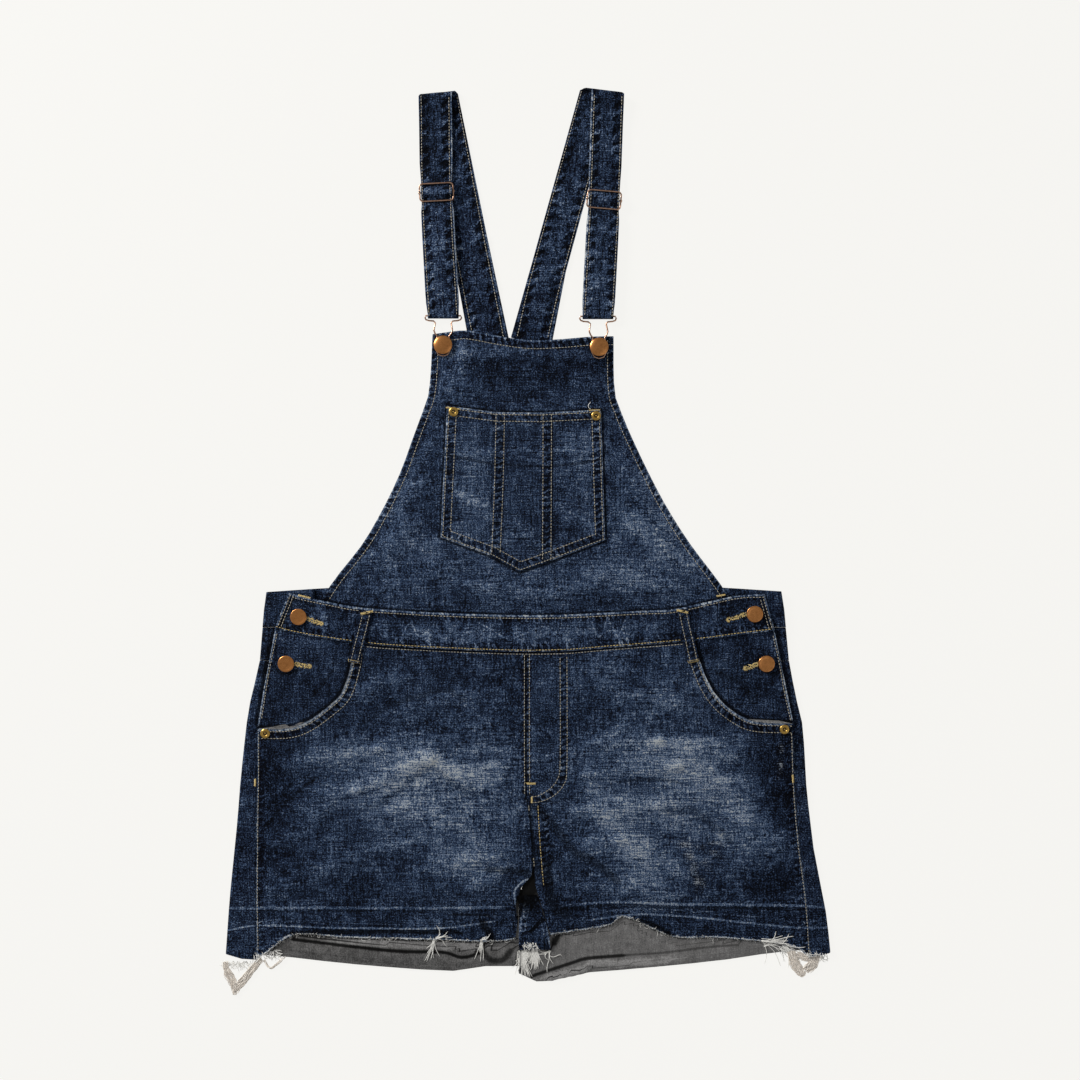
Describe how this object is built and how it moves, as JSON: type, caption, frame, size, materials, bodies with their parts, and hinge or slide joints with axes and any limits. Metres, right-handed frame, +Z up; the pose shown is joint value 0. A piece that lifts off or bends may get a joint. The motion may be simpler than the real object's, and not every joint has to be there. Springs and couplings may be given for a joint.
{
  "type": "denim short overalls laid flat",
  "caption": "Bib-front denim short overalls laid flat, with adjustable straps, wire buckles, tack buttons, a peaked bib pocket and cut-off raw hems.",
  "frame": {"origin": "on the surface it lies on, under the middle of the outline", "axes": "+X to the right as seen from above, +Y from the leg hems to the shoulder ends of the straps, +Z up from the surface, out of the front"},
  "size_m": [0.615, 0.9076, 0.0095],
  "materials": {
    "denim": "washed dark indigo twill, faded on the thighs and along the seams",
    "denim_back": "washed dark indigo twill, pale grey on its inner face",
    "copper": "satin antique copper",
    "rivet": "satin antique brass",
    "wire": "dull antique copper wire",
    "fray": "loose undyed threads"
  },
  "bodies": {
    "root": {"back_leg_left": "denim_back", "back_leg_right": "denim_back", "back_yoke_left": "denim_back", "back_yoke_right": "denim_back", "waistband_back": "denim_back", "back_bib": "denim_back", "pocket_facing_left": "denim", "pocket_facing_right": "denim", "front_leg_left": "denim", "front_leg_right": "denim", "waistband_front": "denim", "front_bib": "denim", "bib_pocket_left": "denim", "bib_pocket_middle": "denim", "bib_pocket_right": "denim", "belt_loop_left": "denim", "belt_loop_right": "denim", "strap_left": "denim", "strap_right": "denim", "slider_left": "wire", "slider_right": "wire", "buckle_left": "wire", "buckle_right": "wire", "bib_button_left": "copper", "bib_button_right": "copper", "side_button_left_upper": "copper", "side_button_left_lower": "copper", "side_button_right_upper": "copper", "side_button_right_lower": "copper", "bib_pocket_rivet_left": "rivet", "bib_pocket_rivet_right": "rivet", "front_pocket_rivet_left": "rivet", "front_pocket_rivet_right": "rivet", "fray_left": "fray", "fray_right": "fray", "fray_crotch": "fray", "fray_hem": "fray"}
  },
  "joints": []
}
